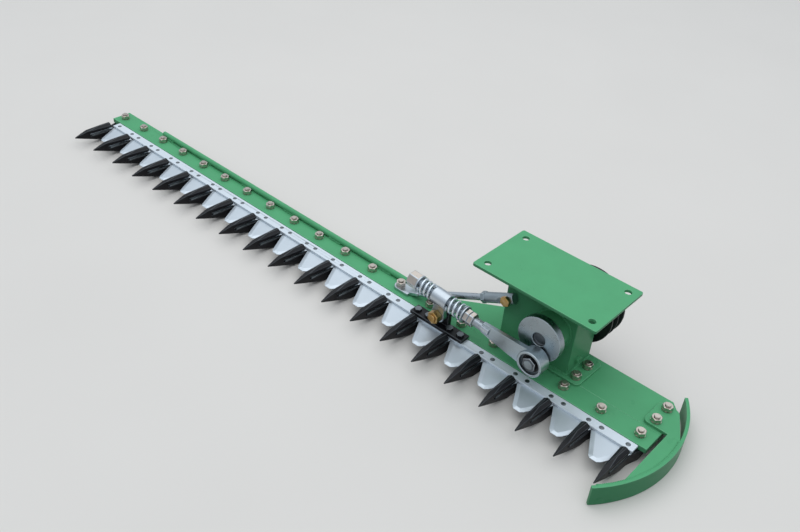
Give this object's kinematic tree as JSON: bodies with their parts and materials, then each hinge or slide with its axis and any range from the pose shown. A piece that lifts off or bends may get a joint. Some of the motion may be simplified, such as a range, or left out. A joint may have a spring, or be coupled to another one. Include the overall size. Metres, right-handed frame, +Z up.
{
  "type": "sickle bar mower",
  "caption": "Cutter bar with guard fingers, a reciprocating knife, a crank drive with a sprung connecting rod, a bolt-on mounting plate and a curved end shoe.",
  "frame": {"origin": "middle of the mounting plate's top face", "axes": "+X along the bar towards the shoe, +Y rearwards towards the pulley, +Z up out of the plate"},
  "size_m": [1.5338, 0.3217, 0.203],
  "materials": {
    "green_paint": "gloss enamel",
    "black_paint": "semi-gloss",
    "zinc_plate": "bright zinc",
    "spring_steel": "zinc plated",
    "bare_steel": "turned and milled",
    "yellow_zinc": "yellow zinc",
    "black_iron": "cast, black"
  },
  "bodies": {
    "frame": {"cutter_bar": "green_paint", "rear_stiffener": "green_paint", "base_plate": "green_paint", "shoe_plate": "green_paint", "shoe_runner": "green_paint", "ledger_plates": "bare_steel", "frame_bolts": "zinc_plate", "frame_nuts": "zinc_plate", "frame_washers": "zinc_plate", "drive_housing": "green_paint", "housing_foot": "green_paint", "mounting_plate": "green_paint", "bearing_tube": "green_paint", "shaft_bearings": "bare_steel", "stay_rod": "zinc_plate", "stay_socket": "bare_steel", "stay_lock_nut": "zinc_plate", "stay_bolt": "yellow_zinc", "finger_01": "black_paint", "finger_02": "black_paint", "finger_03": "black_paint", "finger_04": "black_paint", "finger_05": "black_paint", "finger_06": "black_paint", "finger_07": "black_paint", "finger_08": "black_paint", "finger_09": "black_paint", "finger_10": "black_paint", "finger_11": "black_paint", "finger_12": "black_paint", "finger_13": "black_paint", "finger_14": "black_paint", "finger_15": "black_paint", "finger_16": "black_paint", "finger_17": "black_paint", "finger_18": "black_paint", "finger_19": "black_paint", "finger_20": "black_paint"},
    "crank": {"crank_shaft": "bare_steel", "crank_disc": "bare_steel", "shaft_keys": "bare_steel", "drive_pulley": "black_iron", "pulley_bolt": "zinc_plate"},
    "knife": {"knife_back": "zinc_plate", "knife_sections": "zinc_plate", "knife_rivets": "zinc_plate", "knife_head": "black_paint", "knife_head_bolts": "zinc_plate", "pivot_bolt": "yellow_zinc"},
    "sleeve": {"spring_sleeve": "bare_steel", "pivot_bush": "bare_steel"},
    "rod": {"connecting_rod": "bare_steel", "tension_rod": "zinc_plate", "rod_nuts": "zinc_plate", "spring_washers": "zinc_plate", "left_spring": "spring_steel", "right_spring": "spring_steel", "big_end_bearing": "bare_steel", "crank_pin": "bare_steel", "crank_pin_nut": "zinc_plate"}
  },
  "joints": [
    {"name": "crank_spin", "type": "hinge", "parent": "frame", "child": "crank", "pos_m": [0.024, -0.058, -0.086], "axis": [0, 1, 0], "continuous": true},
    {"name": "knife_slide", "type": "slide", "parent": "frame", "child": "knife", "axis": [1, 0, 0], "range_m": [-0.0368, 0.0381]},
    {"name": "sleeve_swing", "type": "hinge", "parent": "knife", "child": "sleeve", "pos_m": [-0.1771, -0.081, -0.142], "axis": [0, -1, 0], "range_deg": [-0.15, 20.54]},
    {"name": "rod_buffer", "type": "slide", "parent": "sleeve", "child": "rod", "axis": [-0.9968, 0, 0.0797], "range_m": [-0.005, 0.005], "stiffness_N_per_m": 20000, "deforming": ["left_spring", "right_spring"]}
  ]
}
